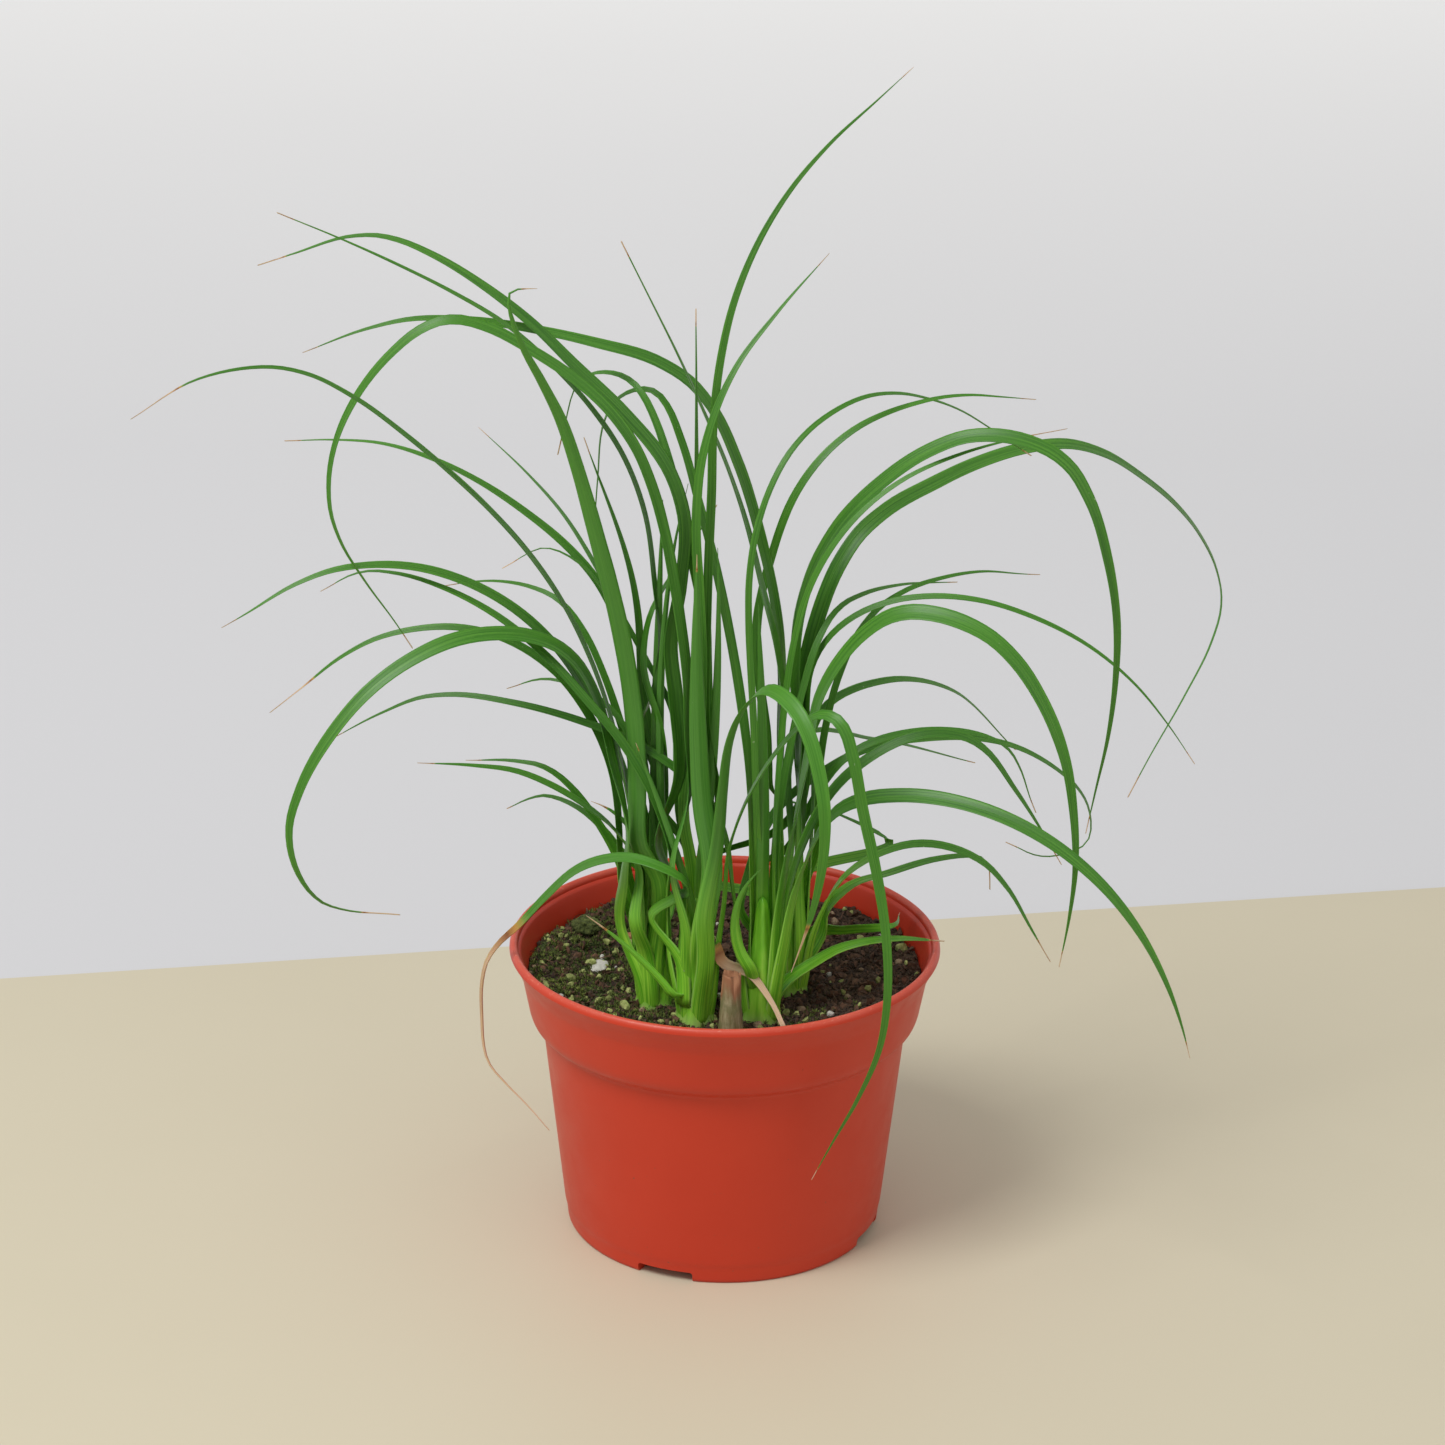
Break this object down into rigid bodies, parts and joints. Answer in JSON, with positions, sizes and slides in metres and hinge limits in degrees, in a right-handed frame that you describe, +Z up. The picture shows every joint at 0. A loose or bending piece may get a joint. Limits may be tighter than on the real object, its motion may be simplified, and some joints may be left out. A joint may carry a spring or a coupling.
{
  "type": "potted ponytail palm",
  "caption": "Young ponytail palm with long arching strap leaves on leafy shoots, growing in soil in a stepped round nursery pot.",
  "frame": {"origin": "centre of the pot's foot, on the surface it stands on, which is also under the middle of the foliage", "axes": "+Z up along the pot's axis; -Y is the side that the old stump and the broad front leaves are on; +X is right when seen from there"},
  "size_m": [0.2567, 0.1437, 0.288],
  "materials": {
    "pot_plastic": "satin moulded terracotta-red plastic",
    "soil": "loose peat with bark, grit and moss",
    "leaf": "semi-gloss ribbed leaf, paler at the base",
    "shoot": "smooth bright green leaf sheaths",
    "drooping_leaf": "green at the base, dry tan from where it crosses the rim",
    "dry_leaf": "dry brown papery leaf",
    "bark": "dry fibrous brown",
    "husk": "pale papery husk",
    "moss": "soft matt moss"
  },
  "bodies": {
    "root": {"bark_chip": "bark", "drooping_leaf": "drooping_leaf", "dry_strip": "dry_leaf", "husk": "husk", "leaf_a01": "leaf", "leaf_a02": "leaf", "leaf_a03": "leaf", "leaf_a04": "leaf", "leaf_a05": "leaf", "leaf_a06": "leaf", "leaf_a07": "leaf", "leaf_a08": "leaf", "leaf_a09": "leaf", "leaf_a10": "leaf", "leaf_a11": "leaf", "leaf_a12": "leaf", "leaf_a13": "leaf", "leaf_b01": "leaf", "leaf_b02": "leaf", "leaf_b03": "leaf", "leaf_b04": "leaf", "leaf_b05": "leaf", "leaf_b06": "leaf", "leaf_b07": "leaf", "leaf_b08": "leaf", "leaf_b09": "leaf", "leaf_b10": "leaf", "leaf_b11": "leaf", "leaf_b12": "leaf", "leaf_c01": "leaf", "leaf_c02": "leaf", "leaf_c03": "leaf", "leaf_c04": "leaf", "leaf_c05": "leaf", "leaf_c06": "leaf", "leaf_c07": "leaf", "leaf_c08": "leaf", "leaf_c09": "leaf", "leaf_d01": "leaf", "leaf_d02": "leaf", "leaf_d03": "leaf", "leaf_d04": "leaf", "leaf_d05": "leaf", "leaf_d06": "leaf", "leaf_d07": "leaf", "leaf_d08": "leaf", "leaf_d09": "leaf", "leaf_d10": "leaf", "leaf_d11": "leaf", "leaf_d12": "leaf", "leaf_d13": "leaf", "leaf_d14": "leaf", "moss_cushion": "moss", "nursery_pot": "pot_plastic", "old_stump": "bark", "potting_soil": "soil", "shoot_a": "shoot", "shoot_b": "shoot", "shoot_c": "shoot", "shoot_d": "shoot"}
  },
  "joints": []
}
